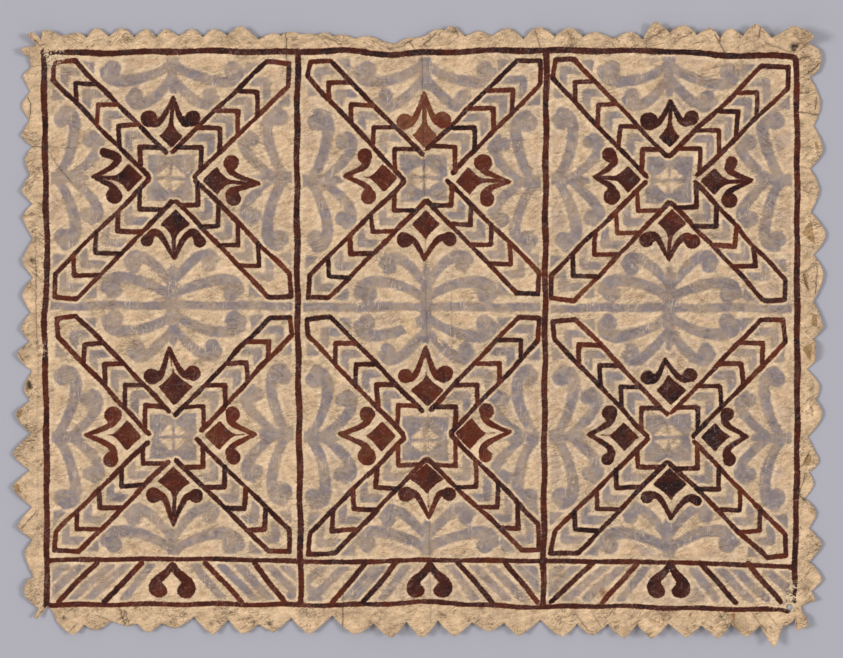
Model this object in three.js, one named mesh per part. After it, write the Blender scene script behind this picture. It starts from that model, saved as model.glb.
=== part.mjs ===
import * as THREE from "three";

// A painted sheet of beaten bark, lying face up with its hand-pinked edge curling off the ground.
// Sizes are in millimetres, x across the face, y up it, both measured from the middle of the painting.

const thickness = 1.2;
const barkColour = 0xcdb083;

const lyingHalfWidth = 372; // the middle of the sheet, which lies on the ground
const lyingHalfHeight = 274;
const gridInset = 14;
const gridColumns = 8; // on each side of the long crease
const gridRows = 13;

const creaseAtTop = 0.5; // a soft ridge down the whole height, where the sheet was once folded in half
const creaseAtBottom = 9.5;
const creaseHeight = 1.6;
const creaseHalfWidth = 12;

const marginRise = 3.6; // how high the margin stands at the notches between the teeth
const marginWave = 1.3; // and how much more or less, in long swells and shorter ripples round the sheet
const swellsAround = 7;
const ripplesAround = 17;
const bandSteps = [0.5, 0.7, 0.85, 1]; // shares of the way from the lying part to the edge
const rollLength = 9; // a tooth bends over this length, then runs on straight
const flankUnevenness = 0.8;

const table = (columns, ...rows) =>
  rows.map((row) => Object.fromEntries(columns.map((name, i) => [name, row[i]])));

// The pinked edge, clockwise from the top left. One row a tooth: where its tip is along the edge, how far
// it reaches past the side's line, how far it curls up in degrees, and how far past the line the notch
// after it ends. Over 90 degrees a tooth is folded back on the face.
const toothColumns = ["tip", "reach", "curl", "cut"];
const topTeeth = table(
  toothColumns,
  [-344, 6, 12, 0.5], [-325, 10.5, 18, 1.5], [-300, 10.5, 22, 1], [-274, 9.5, 30, 1], [-256, 10, 20, 2.5],
  [-229, 9.5, 16, 1], [-208, 9.5, 18, 2.5], [-180, 12.5, 24, -1.5], [-145, 5, 40, 2], [-135, 6, 40, 4.5],
  [-110, 5, 30, 3.5], [-97, 6.5, 35, 2], [-80, 3.5, 50, -0.5], [-52, 2, 50, -3], [-28, -6, 20, -1.5],
  [-8, 0, 20, 2], [16, 9.5, 24, 7.5], [30, 13, 28, 2], [57, 7.5, 35, 2.5], [86, 11, 38, -1],
  [118, 12, 34, 1.5], [148, 11.5, 38, 1], [174, 6.5, 40, -0.5], [209, 7, 34, -1], [233, 18, 36, 5.5],
  [262, 14, 38, 3], [288, 11, 34, 0], [308, 10, 36, 2], [334, 15, 34, 0],
);
const rightTeeth = table(
  toothColumns,
  [226, 9.5, 28, 2.5], [180, 12, 34, -1], [140, 8, 16, -0.5], [94, 14.5, 20, 2], [54, 12.5, 26, 2],
  [2, 11.5, 28, 2], [-22, 13, 128, -4.5], [-58, 8.5, 16, 4.5], [-84, 11, 24, -3.5], [-132, 8, 20, -2],
  [-155, 3, 50, -6], [-183, 5.5, 24, -2.5], [-215, 10.5, 26, -1.5], [-250, 11, 22, 0],
);
const bottomTeeth = table(
  toothColumns,
  [352, 27, 26, 3.5], [324, 16, 32, 1.5], [295, 17, 30, 3], [264, 16.5, 34, 1], [229, 17.5, 30, 2],
  [202, 17.5, 32, 1.5], [170, 14, 30, 1.5], [141, 15.5, 32, -2.5], [97, 15, 34, 0.5], [68, 10.5, 42, 0],
  [33, 15.5, 36, -2], [0, 17.5, 34, -0.5], [-30, 17.5, 38, 1], [-66, 13, 34, -7], [-112, 12, 22, -4.5],
  [-148, 11, 32, 2], [-178, 13, 34, -2.5], [-208, 13, 26, -5.5], [-246, 6, 30, 1], [-273, 11, 26, 1.5],
  [-294, 4.5, 40, -1], [-326, 9, 26, 2.5], [-348, 14, 32, 0],
);
const leftTeeth = table(
  toothColumns,
  [-223, 6, 24, -2], [-198, 13, 44, -1.5], [-158, 18.5, 30, 1], [-124, 18, 16, 0], [-85, 15, 34, 0.5],
  [-59, 6.5, 58, -1.5], [-25, 14.5, 40, 1.5], [-1, 10, 54, 0], [34, 8.5, 52, -2.5], [68, 9, 50, -2],
  [112, 8.5, 16, -2], [138, 9, 26, 0.5], [170, 5.5, 28, -2], [194, 9.5, 20, 1], [223, 9.5, 24, 0.5],
  [252, 8, 16, 0],
);

// line is what reaches and cuts are measured from, and firstCut is for the notch before the first tooth.
const edges = {
  top: {
    line: 290.5, from: -360, to: 350, firstCut: 2.5, teeth: topTeeth,
    place: (along, out) => [along, out],
  },
  right: {
    line: 389.5, from: 252, to: -262, firstCut: -1.5, teeth: rightTeeth,
    place: (along, out) => [out, along],
  },
  bottom: {
    line: 293, from: 361, to: -364, firstCut: 3, teeth: bottomTeeth,
    place: (along, out) => [along, -out],
  },
  left: {
    line: 390.5, from: -248, to: 261, firstCut: -3, teeth: leftTeeth,
    place: (along, out) => [-out, along],
  },
};
const toothRound = 1.25; // 1 for straight-sided teeth and more for scallops

// The corners are torn, so their outline is a row for each turn, with the height that it stands up.
const cornerColumns = ["x", "y", "lift"];
const corners = {
  topRight: table(
    cornerColumns,
    [363, 298, 7], [370, 302, 12], [384, 296.5, 18], [390.5, 290.5, 21], [386, 288, 15], [378, 285.5, 5],
    [386, 285, 4], [392, 282.5, 3], [396, 280, 3], [399, 275, 3], [399.5, 268, 3], [398, 262, 3],
    [394.5, 256, 3],
  ),
  bottomRight: table(
    cornerColumns,
    [394, -271, 5], [386, -273, 3], [379, -277, 2], [380, -283, 3], [384.5, -288, 5], [385, -297, 7],
    [374, -300.5, 7], [373, -288, 3], [371, -291.5, 3], [364, -296.5, 3],
  ),
  bottomLeft: table(
    cornerColumns,
    [-368, -282, 2], [-374, -277, 1], [-384, -289, 5], [-387, -288, 5], [-382, -279, 3], [-388, -275, 2],
    [-396, -267, 4], [-397, -258, 4], [-393, -250, 3],
  ),
  topLeft: table(
    cornerColumns,
    [-391.5, 272, 3], [-398, 275, 7], [-399, 280, 8], [-385, 283, 5], [-384, 284.5, 4],
    [-388, 288.5, 7], [-393, 293.5, 9], [-389, 296, 8], [-384.5, 294, 6], [-380, 289, 3],
    [-378, 298, 5], [-370, 298, 4],
  ),
};

// A repeatable number between -1 and 1 for each place n.
function uneven(n) {
  const scattered = Math.sin(n * 12.9898) * 43758.5453;
  return 2 * (scattered - Math.floor(scattered)) - 1;
}

// Height of the sheet over the ground: the crease, and the margin's slow rise outside the lying part,
// which swells and sinks on its way round.
function sheetHeight(x, y) {
  const down = (lyingHalfHeight - y) / (2 * lyingHalfHeight);
  const fromCrease = (x - creaseAtTop - (creaseAtBottom - creaseAtTop) * down) / creaseHalfWidth;
  const ridge = creaseHeight * Math.max(0, 1 - fromCrease ** 2) ** 2;
  const outside = Math.hypot(
    Math.max(0, Math.abs(x) - lyingHalfWidth),
    Math.max(0, Math.abs(y) - lyingHalfHeight),
  );
  const around = Math.atan2(y / lyingHalfHeight, x / lyingHalfWidth);
  const waves = Math.sin(swellsAround * around + 1) + Math.sin(ripplesAround * around);
  const rise = marginRise + marginWave * waves;
  const share = Math.min(1, outside / (edges.top.line - lyingHalfHeight));
  return thickness / 2 + ridge + rise * share * share;
}

// Edge points of one side: for each tooth the notch before it, the middle of each flank and the tip.
function pinkedEdge({ line, from, to, firstCut, teeth, place }) {
  const notches = teeth.map(({ tip, cut }, i) => {
    const next = teeth[i + 1];
    return { along: next ? (tip + next.tip) / 2 : to, cut };
  });
  notches.unshift({ along: from, cut: firstCut });
  const flankShare = 1 - 0.5 ** toothRound;
  const points = [];
  const add = (along, out, curl) => {
    const [x, y] = place(along, line + out);
    points.push({ x, y, curl: THREE.MathUtils.degToRad(curl), lift: 0 });
  };
  teeth.forEach(({ tip, reach, curl }, i) => {
    const [before, after] = [notches[i], notches[i + 1]];
    const flank = (notch, seed) =>
      notch.cut + (reach - notch.cut) * flankShare + flankUnevenness * uneven(seed);
    add(before.along, before.cut, curl);
    add((before.along + tip) / 2, flank(before, tip + 1), curl);
    add(tip, reach, curl);
    add((after.along + tip) / 2, flank(after, tip + 2), curl);
  });
  add(to, notches.at(-1).cut, 0);
  return points;
}

const cornerEdge = (rows) => rows.map(({ x, y, lift }) => ({ x, y, curl: 0, lift }));

const outline = [
  ...pinkedEdge(edges.top),
  ...cornerEdge(corners.topRight),
  ...pinkedEdge(edges.right),
  ...cornerEdge(corners.bottomRight),
  ...pinkedEdge(edges.bottom),
  ...cornerEdge(corners.bottomLeft),
  ...pinkedEdge(edges.left),
  ...cornerEdge(corners.topLeft),
];

// The nearest point of the lying part.
function lyingPoint({ x, y }) {
  return new THREE.Vector2(
    THREE.MathUtils.clamp(x, -lyingHalfWidth, lyingHalfWidth),
    THREE.MathUtils.clamp(y, -lyingHalfHeight, lyingHalfHeight),
  );
}

// A point of the margin, a share of the way from the lying part to the edge. Past the notches the cloth
// rolls up through the tooth's curl, and a torn corner rises by its lift.
function marginPoint(edgePoint, share) {
  const start = lyingPoint(edgePoint);
  const outward = new THREE.Vector2(edgePoint.x, edgePoint.y).sub(start);
  const length = outward.length() * share;
  outward.normalize();
  const sideways = Math.abs(outward.x) > Math.abs(outward.y);
  const foldAt = sideways ? edges.right.line - lyingHalfWidth : edges.top.line - lyingHalfHeight;
  const past = edgePoint.curl ? Math.max(0, length - foldAt) : 0;
  const flat = start.clone().addScaledVector(outward, length - past);
  let across = past;
  let up = edgePoint.lift * share * share;
  if (past > 0) {
    const radius = rollLength / edgePoint.curl;
    const turned = (Math.min(past, rollLength) / rollLength) * edgePoint.curl;
    const straight = Math.max(0, past - rollLength);
    across = radius * Math.sin(turned) + straight * Math.cos(turned);
    up += radius * (1 - Math.cos(turned)) + straight * Math.sin(turned);
  }
  const height = sheetHeight(flat.x, flat.y) + up;
  flat.addScaledVector(outward, across);
  return new THREE.Vector3(flat.x, flat.y, height);
}

// The middle surface of the sheet, as points with normals and triangles facing up.
const points = [];
const normals = [];
const upFaces = [];

function addPoint(point, normal) {
  points.push(point);
  normals.push(normal);
  return points.length - 1;
}

function addFace(a, b, c) {
  if (a !== b && b !== c && c !== a) upFaces.push([a, b, c]);
}

const straightUp = new THREE.Vector3(0, 0, 1);

// The ring where the margin starts, with one point for several edge points at a corner.
const innerRing = [];
const ringOfEdgePoint = outline.map((edgePoint) => {
  const { x, y } = lyingPoint(edgePoint);
  const place = new THREE.Vector3(x, y, sheetHeight(x, y));
  const last = innerRing.at(-1);
  if (last !== undefined && points[last].equals(place)) return last;
  innerRing.push(addPoint(place, straightUp));
  return innerRing.at(-1);
});

// The margin band, outwards from that ring. Its normals are taken over a short step inwards.
const normalStep = 0.1;
let inside = ringOfEdgePoint;
bandSteps.forEach((share) => {
  const around = outline.map((edgePoint) => marginPoint(edgePoint, share));
  const next = outline.map((edgePoint, i) => {
    const along = around[(i + 1) % around.length].clone().sub(around.at(i - 1));
    const outward = around[i].clone().sub(marginPoint(edgePoint, share - normalStep));
    return addPoint(around[i], along.cross(outward).normalize());
  });
  next.forEach((id, i) => {
    const j = (i + 1) % next.length;
    addFace(inside[i], next[j], id);
    addFace(inside[i], inside[j], next[j]);
  });
  inside = next;
});
const rim = inside;

// The lying part is a grid with columns along the crease, and a strip joins it to the ring.
const gridWidth = lyingHalfWidth - gridInset;
const gridHeight = lyingHalfHeight - gridInset;
const grid = [];
for (let row = 0; row <= gridRows; row++) {
  const y = gridHeight - (2 * gridHeight * row) / gridRows;
  const down = (lyingHalfHeight - y) / (2 * lyingHalfHeight);
  const crease = creaseAtTop + (creaseAtBottom - creaseAtTop) * down;
  const columns = [crease];
  for (let i = 0; i <= gridColumns; i++) {
    const share = i / gridColumns;
    columns.unshift(crease - creaseHalfWidth - (gridWidth + crease - creaseHalfWidth) * share);
    columns.push(crease + creaseHalfWidth + (gridWidth - crease - creaseHalfWidth) * share);
  }
  grid.push(columns.map((x) => addPoint(new THREE.Vector3(x, y, sheetHeight(x, y)), straightUp)));
}
const lastColumn = grid[0].length - 1;
for (let row = 0; row < gridRows; row++) {
  for (let i = 0; i < lastColumn; i++) {
    addFace(grid[row][i], grid[row + 1][i], grid[row + 1][i + 1]);
    addFace(grid[row][i], grid[row + 1][i + 1], grid[row][i + 1]);
  }
}
const gridRing = [
  ...grid[0],
  ...grid.slice(1).map((row) => row[lastColumn]),
  ...grid[gridRows].slice(0, lastColumn).reverse(),
  ...grid.slice(1, gridRows).map((row) => row[0]).reverse(),
];

// A strip of triangles between two rings that run clockwise from the same corner, each step taken on the
// side that gives the shorter way across.
function stitch(outer, inner) {
  const across = (a, b) => points[a].distanceTo(points[b]);
  let i = 0;
  let j = 0;
  while (i < outer.length || j < inner.length) {
    const [a, nextA] = [outer[i % outer.length], outer[(i + 1) % outer.length]];
    const [b, nextB] = [inner[j % inner.length], inner[(j + 1) % inner.length]];
    const outerStep = i < outer.length ? across(nextA, b) : Infinity;
    const innerStep = j < inner.length ? across(nextB, a) : Infinity;
    if (outerStep <= innerStep) i++;
    else j++;
    addFace(a, b, outerStep <= innerStep ? nextA : nextB);
  }
}
stitch(innerRing, gridRing);

// The painted face, the back and the cut rim that joins them.
function sheetGeometry() {
  const half = thickness / 2;
  const face = points.map((point, i) => point.clone().addScaledVector(normals[i], half));
  const back = points.map((point, i) => point.clone().addScaledVector(normals[i], -half));
  const count = points.length;
  const triangles = upFaces.flatMap(([a, b, c]) => [a, b, c, c + count, b + count, a + count]);
  rim.forEach((a, i) => {
    const b = rim[(i + 1) % rim.length];
    triangles.push(a, b, b + count, a, b + count, a + count);
  });
  const geometry = new THREE.BufferGeometry().setFromPoints([...face, ...back]);
  geometry.setIndex(triangles);
  geometry.computeVertexNormals();
  return geometry;
}

// The part stands on the middle of its own footprint.
const geometry = sheetGeometry();
geometry.computeBoundingBox();
const { min, max } = geometry.boundingBox;
geometry.translate(-(min.x + max.x) / 2, -(min.y + max.y) / 2, -min.z);

const barkCloth = new THREE.Mesh(
  geometry,
  new THREE.MeshStandardMaterial({ color: barkColour, roughness: 0.92, metalness: 0 }),
);
barkCloth.name = "bark_cloth";

const tapa = new THREE.Group();
tapa.add(barkCloth);
export default tapa;
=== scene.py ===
import math

import bpy
import numpy as np
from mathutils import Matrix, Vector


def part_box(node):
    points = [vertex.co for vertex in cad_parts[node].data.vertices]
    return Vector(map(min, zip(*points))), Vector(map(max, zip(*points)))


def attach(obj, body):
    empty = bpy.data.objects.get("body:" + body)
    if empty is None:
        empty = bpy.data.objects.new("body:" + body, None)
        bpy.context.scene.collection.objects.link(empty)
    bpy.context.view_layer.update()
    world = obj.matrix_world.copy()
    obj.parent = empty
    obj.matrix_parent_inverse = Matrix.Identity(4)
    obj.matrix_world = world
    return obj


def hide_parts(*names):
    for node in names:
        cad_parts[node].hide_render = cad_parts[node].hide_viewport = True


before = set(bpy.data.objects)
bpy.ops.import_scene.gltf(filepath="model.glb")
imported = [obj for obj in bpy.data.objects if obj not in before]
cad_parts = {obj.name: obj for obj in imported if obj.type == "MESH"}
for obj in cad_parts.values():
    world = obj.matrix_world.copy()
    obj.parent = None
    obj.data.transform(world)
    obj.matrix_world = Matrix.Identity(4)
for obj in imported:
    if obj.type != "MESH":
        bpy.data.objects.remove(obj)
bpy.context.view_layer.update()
mm = 0.001
print("frame loaded")


def colour(red, green, blue):
    # A picture colour of 0 to 255 as the linear colour that shaders use.
    part = np.array([red, green, blue]) / 255
    linear = np.where(part <= 0.04045, part / 12.92, ((part + 0.055) / 1.055) ** 2.4)
    return (*linear.tolist(), 1.0)


def uneven(n):
    # A repeatable number between -1 and 1: twice the fraction of a large sine, less 1.
    scattered = np.sin(np.asarray(n, float) * 12.9898) * 43758.5453
    return 2 * (scattered - np.floor(scattered)) - 1


def fromLeg(x, y, start, end):
    # How far each place is from a straight leg, and how far along the leg, 0 to 1, its nearest point is.
    (ax, ay), (bx, by) = start, end
    dx, dy = bx - ax, by - ay
    along = np.clip(((x - ax) * dx + (y - ay) * dy) / max(dx * dx + dy * dy, 1e-9), 0, 1)
    return np.hypot(x - ax - along * dx, y - ay - along * dy), along


# The sheet. Sizes are in millimetres from the middle of the painting, x across it and y up it.
sheet = {
    "thickness": 0.9,
    "flatWidth": 0.812,  # metres
    "flatHeight": 0.624,
    "lyingHalfWidth": 372,
    "lyingHalfHeight": 274,
    "columns": 324,  # cells of the painted face
    "rows": 238,
    "cornerFan": 20,
    "bandSteps": [0.09, 0.18, 0.27, 0.36, 0.46, 0.56, 0.66, 0.77, 0.88, 1.0],  # shares of the way to the edge
    "backSteps": [3, 6, 8, 10],  # the steps of the band that the back has too
    "undersideRings": [0.7, 0.35],  # shares of the lying part's size
    "creaseAtTop": 0.5,
    "creaseAtBottom": 9.5,
    "creaseHeight": 1.6,
    "creaseHalfWidth": 12,
    "marginRise": 3.6,
    "marginWave": 1.1,
    "sideFlatness": 0.53,  # how much less the left and right margins rise
    "swellsAround": 7,
    "ripplesAround": 17,
    "slowSwell": 0.16,  # the beaten sheet's own unevenness
    "quickSwell": 0.1,
    "rollLength": 9,
    "flankUnevenness": 0.8,
    "frayed": 0.45,
}

# One row a tooth: where its tip is, how far it reaches past the side's line, its curl in degrees, and how
# far past the line the notch after it ends. firstCut is for the notch before the first tooth, and round is
# 1 for teeth with straight flanks and more for blunt ones.
pinking = {
    "top": {
        "line": 290.5, "start": -360, "end": 350, "firstCut": 2.5, "round": 1.35,
        "teeth": [
            (-344, 6, 12, 0.5), (-325, 10.5, 18, 1.5), (-300, 10.5, 22, 1), (-274, 9.5, 30, 1),
            (-256, 10, 20, 2.5), (-229, 9.5, 16, 1), (-208, 9.5, 18, 2.5), (-180, 12.5, 24, -1.5),
            (-145, 5, 40, 2), (-135, 6, 40, 4.5), (-110, 5, 30, 3.5), (-97, 6.5, 35, 2),
            (-80, 3.5, 50, -0.5), (-52, 2, 50, -3), (-28, -6, 20, -1.5), (-8, 0, 20, 2),
            (16, 9.5, 24, 7.5), (30, 13, 28, 2), (57, 7.5, 35, 2.5), (86, 11, 38, -1),
            (118, 12, 34, 1.5), (148, 11.5, 38, 1), (174, 6.5, 40, -0.5), (209, 7, 34, -1),
            (233, 18, 36, 5.5), (262, 14, 38, 3), (288, 11, 34, 0), (308, 10, 36, 2), (334, 15, 34, 0),
        ],
    },
    "right": {
        "line": 389.5, "start": 252, "end": -262, "firstCut": -1.5, "round": 1.4,
        "teeth": [
            (226, 9.5, 17, 2.5), (180, 12, 21, -1), (140, 8, 10, -0.5), (94, 14.5, 12, 2),
            (54, 12.5, 16, 2), (2, 11.5, 17, 2), (-22, 13, 128, -4.5), (-58, 8.5, 10, 4.5),
            (-84, 11, 15, -3.5), (-132, 8, 12, -2), (-155, 3, 31, -6), (-183, 5.5, 15, -2.5),
            (-215, 10.5, 16, -1.5), (-250, 11, 14, 0),
        ],
    },
    "bottom": {
        "line": 293, "start": 361, "end": -364, "firstCut": 3, "round": 1.2,
        "teeth": [
            (352, 27, 26, 3.5), (324, 16, 32, 1.5), (295, 17, 30, 3), (264, 16.5, 34, 1),
            (229, 17.5, 30, 2), (202, 17.5, 32, 1.5), (170, 14, 30, 1.5), (141, 15.5, 32, -2.5),
            (97, 15, 34, 0.5), (68, 10.5, 42, 0), (33, 15.5, 36, -2), (0, 17.5, 34, -0.5),
            (-30, 17.5, 38, 1), (-66, 13, 34, -7), (-112, 12, 22, -4.5), (-148, 11, 32, 2),
            (-178, 13, 34, -2.5), (-208, 13, 26, -5.5), (-246, 6, 30, 1), (-273, 11, 26, 1.5),
            (-294, 4.5, 40, -1), (-326, 9, 26, 2.5), (-348, 14, 32, 0),
        ],
    },
    "left": {
        "line": 390.5, "start": -248, "end": 261, "firstCut": -3, "round": 1.35,
        "teeth": [
            (-223, 6, 12, -2), (-198, 13, 22, -1.5), (-158, 18.5, 15, 1), (-124, 18, 8, 0),
            (-85, 15, 17, 0.5), (-59, 6.5, 29, -1.5), (-25, 14.5, 32, 1.5), (-1, 10, 43, 0),
            (34, 8.5, 42, -2.5), (68, 9, 40, -2), (112, 8.5, 13, -2), (138, 9, 21, 0.5),
            (170, 5.5, 22, -2), (194, 9.5, 16, 1), (223, 9.5, 19, 0.5), (252, 8, 13, 0),
        ],
    },
}

# The torn corners, each after its side: x, y and the height that the turn stands up.
tornCorners = {
    "top": [
        (363, 298, 7), (370, 302, 12), (384, 296.5, 18), (390.5, 290.5, 21), (386, 288, 15),
        (378, 285.5, 5), (386, 285, 4), (392, 282.5, 3), (396, 280, 3), (399, 275, 3), (399.5, 268, 3),
        (398, 262, 3), (394.5, 256, 3),
    ],
    "right": [
        (394, -271, 5), (386, -273, 3), (379, -277, 2), (380, -283, 3), (384.5, -288, 5), (385, -297, 7),
        (374, -300.5, 7), (373, -288, 3), (371, -291.5, 3), (364, -296.5, 3),
    ],
    "bottom": [
        (-368, -282, 2), (-374, -277, 1), (-384, -289, 5), (-387, -288, 5), (-382, -279, 3),
        (-388, -275, 2), (-396, -267, 4), (-397, -258, 4), (-393, -250, 3),
    ],
    "left": [
        (-391.5, 272, 3), (-398, 275, 7), (-399, 280, 8), (-385, 283, 5), (-384, 284.5, 4),
        (-388, 288.5, 7), (-393, 293.5, 9), (-389, 296, 8), (-384.5, 294, 6), (-380, 289, 3),
        (-378, 298, 5), (-370, 298, 4),
    ],
}

# Creases: from, to, height (a trough is below 0), half width, and how dark the painted shade along its line
# is.
creases = [
    (0.5, 277, 2.5, 150, -0.25, 4, 0.55), (2.5, 150, 9.5, -292, -0.25, 4, 0.4),
    (29.5, 36, 31, -10, 0.5, 5, 0.3), (-78, -256, -79, -296, -0.5, 3, 0.9),
    (-135.5, 295, -135, 272, -0.5, 3, 1), (294, 292, 305, 275, -0.5, 4, 1),
    (-161, 285, -153, 280, -0.4, 4, 0.5), (-103, 293, -94, 285, -0.4, 3, 0.7),
    (-97, 293, -82, 285, -0.4, 3, 0.7), (-85, 294, -84.5, 287, -0.4, 3, 0.5),
    (-21, 284, -11, 288, -0.5, 3, 1), (-12, 287, -8, 282, -0.5, 3, 1), (2, 284, 13, 294, -0.6, 4, 1),
    (-30, 281, -18, 283, -0.4, 4, 0.6), (33, 302, 36, 295, -0.6, 3, 0.9), (26, 300, 33, 295, -0.4, 3, 0.5),
    (114, 296, 119, 282, -0.6, 4, 0.7), (146, 297, 151, 284, -0.5, 4, 0.6),
    (227, 290, 243, 300, -0.5, 4, 0.9), (252, 286, 270, 297, -0.4, 4, 0.6),
    (298, 289, 300, 294, -0.4, 3, 0.8), (338, 301, 337, 293, -0.6, 3, 0.9),
    (346, 285, 369, 277, -0.5, 4, 0.7), (377, 269, 386, 272, -0.5, 3, 1), (387, 256, 398, 265, -0.6, 4, 1),
    (378, 250, 387, 257, -0.4, 3, 0.6), (395, 230, 394, 221, -0.5, 3, 1), (378, 217, 395, 214, -0.6, 4, 1),
    (378, 182, 391, 181, -0.4, 4, 0.5), (378, 162, 392, 160, -0.4, 4, 0.5),
    (379, 145, 391, 146, -0.4, 4, 0.4),
    (381, 56, 394, 65, -0.5, 3, 0.8), (381, 56, 386, 40, -0.5, 3, 0.8), (396, 63, 394, 37, -0.6, 3, 1),
    (381, -136, 387, -124, -0.5, 3, 1), (378, -164, 383, -147, -0.5, 3, 1),
    (377, -165, 383, -171, -0.5, 3, 0.9),
    (300, 210, 372, 150, 0.4, 10, 0), (-360, 60, -240, 40, 0.3, 14, 0),
    (-200, -200, -60, -235, 0.35, 12, 0), (120, -40, 260, -60, 0.3, 14, 0),
    (-373.5, 179, -363, 162, -0.5, 4, 0.7), (-363, 162, -351, 148.5, -0.5, 4, 0.7),
    (-385.5, 82, -385, -16, -0.7, 4, 0.7), (-400, 182, -376, 182, -0.6, 4, 0.9),
    (-376, 182, -346, 181, -0.3, 3, 0.5), (-393.5, 230, -390.5, 224, -0.6, 3, 1),
    (-390.5, 224, -391.5, 212, -0.6, 3, 1), (-389, 263, -370, 264, -0.4, 3, 0.5),
    (-383.5, -11, -384, -110, -0.5, 4, 0.25), (-384, -110, -383, -231, -0.5, 4, 0.2),
    (-405, -22, -398, -32, -0.6, 3, 0.9),
    (-398.6, -198, -385.7, -183, -0.5, 3, 0.9), (-301, -281, -297, -294, -0.6, 3, 1),
    (-296, -283, -293, -292, -0.5, 3, 0.8), (-349.5, -301, -346, -296.5, -0.5, 3, 1),
    (-185, -283, -176, -295, -0.4, 4, 0.4), (-172, -284, -167, -296, -0.4, 4, 0.4),
    (156, -287, 166, -301, -0.5, 3, 0.6), (172, -286, 182, -302, -0.5, 3, 0.6),
    (298, -285, 306, -298, -0.5, 3, 0.7), (305, -284, 313, -297, -0.5, 3, 0.6),
    (332, -286, 343, -301, -0.5, 4, 0.7), (348, -287, 360, -302, -0.5, 4, 0.6),
]


# The six painted squares, by row and column: the middle of each.
squares = {
    "topLeft": (-250.5, 151),
    "topMiddle": (2.5, 151),
    "topRight": (247.5, 149),
    "lowLeft": (-248.5, -108),
    "lowMiddle": (3.5, -111),
    "lowRight": (246.5, -109),
}


def sheetHeight(x, y):
    # Half the thickness, plus a ridge (1 - d squared) squared along the old fold, plus the margin's rise
    # times the square of the share of the way out. The rise is less where the way out runs left or right.
    down = (sheet["lyingHalfHeight"] - y) / (2 * sheet["lyingHalfHeight"])
    foldLine = sheet["creaseAtTop"] + (sheet["creaseAtBottom"] - sheet["creaseAtTop"]) * down
    fromFold = (x - foldLine) / sheet["creaseHalfWidth"]
    ridge = sheet["creaseHeight"] * np.maximum(0, 1 - fromFold ** 2) ** 2
    outX = np.maximum(0, np.abs(x) - sheet["lyingHalfWidth"])
    outY = np.maximum(0, np.abs(y) - sheet["lyingHalfHeight"])
    around = np.arctan2(y / sheet["lyingHalfHeight"], x / sheet["lyingHalfWidth"])
    waves = np.sin(sheet["swellsAround"] * around + 1) + np.sin(sheet["ripplesAround"] * around)
    sideways = outX / np.maximum(outX + outY, 1e-9)
    rise = (sheet["marginRise"] + sheet["marginWave"] * waves) * (1 - sheet["sideFlatness"] * sideways)
    share = np.minimum(1, np.hypot(outX, outY) / (pinking["top"]["line"] - sheet["lyingHalfHeight"]))
    return sheet["thickness"] / 2 + ridge + rise * share ** 2


def relief(x, y):
    # Slow swells of the beaten sheet as a sum of crossed sines, and each crease as a soft ridge or trough:
    # its height times (1 - d squared) squared, d being the distance from its line over its half width.
    slow = np.sin(x / 17 + 2 * np.sin(y / 41)) * np.sin(y / 21 + 1.3 * np.sin(x / 33))
    quick = np.sin(x / 6.1 + y / 9.3) * np.sin(y / 7.7 - x / 12.4)
    total = sheet["slowSwell"] * slow + sheet["quickSwell"] * quick
    for ax, ay, bx, by, height, halfWidth, dark in creases:
        apart = fromLeg(x, y, (ax, ay), (bx, by))[0]
        total = total + height * np.maximum(0, 1 - (apart / halfWidth) ** 2) ** 2
    return total


def sideSamples(name, alongGrid):
    # The pinked edge over one side's grid columns. The tips and notches fall on whole columns. Between them
    # the way out is cut + (reach - cut) (1 - (1 - phase) to the power round), phase going 0 to 1 up a flank.
    side = pinking[name]
    teeth = np.array(side["teeth"], float)
    tips, reach, curl, cut = teeth.T
    notches = np.concatenate([[side["start"]], (tips[:-1] + tips[1:]) / 2, [side["end"]]])
    step = (alongGrid[-1] - alongGrid[0]) / (len(alongGrid) - 1)
    column = np.arange(len(alongGrid))
    keys = np.empty(2 * len(tips) + 1)
    keys[0::2] = notches
    keys[1::2] = tips
    keyColumn = np.round((keys - alongGrid[0]) / step)
    along = np.interp(column, keyColumn, keys)
    phase = np.interp(column, keyColumn, np.arange(len(keys)) % 2)
    tooth = np.clip(np.searchsorted(keyColumn[0::2], column, side="right") - 1, 0, len(tips) - 1)
    pastTip = column > keyColumn[1::2][tooth]
    wobble = sheet["flankUnevenness"] * uneven(tips[tooth] + 1 + pastTip)
    cuts = np.append(side["firstCut"], cut)
    ownCut = np.where(pastTip, cuts[tooth + 1], cuts[tooth])
    out = side["line"] + ownCut + (reach[tooth] - ownCut) * (1 - (1 - phase) ** side["round"])
    out += wobble * 4 * phase * (1 - phase)
    out += sheet["frayed"] * uneven(along * 3.1) * (0.4 + 0.6 * phase)
    inside = (column >= keyColumn[0]) & (column <= keyColumn[-1])
    return along, out, np.radians(curl[tooth]), inside


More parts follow.
